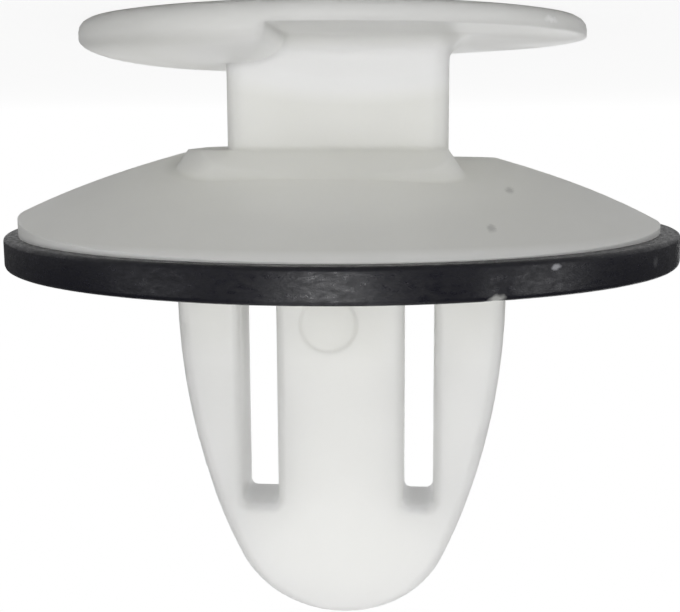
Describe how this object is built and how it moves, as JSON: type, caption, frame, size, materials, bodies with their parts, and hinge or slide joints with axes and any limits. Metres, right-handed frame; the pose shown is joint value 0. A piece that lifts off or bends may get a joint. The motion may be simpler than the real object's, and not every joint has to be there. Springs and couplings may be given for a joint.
{
  "type": "car trim clip",
  "caption": "Push-in trim clip: a slotted flat prong, a domed skirt over a black sealing ring, and a grooved neck under a flat head that slides into the trim panel's bracket.",
  "frame": {"origin": "on the prong's axis, in the plane of the head's flat outer face, which the clip stands on", "axes": "+Z from the head's outer face to the prong's tip; +X across the flat prong, towards the thick half of the head; Y through the prong's thickness, with Y = 0 its middle plane"},
  "size_m": [0.02, 0.02, 0.0184],
  "materials": {
    "natural_nylon": "smooth moulded, slightly translucent",
    "seal_rubber": "fine closed-cell foam skin, matte"
  },
  "bodies": {
    "root": {"clip_body": "natural_nylon", "seal_ring": "seal_rubber"}
  },
  "joints": []
}
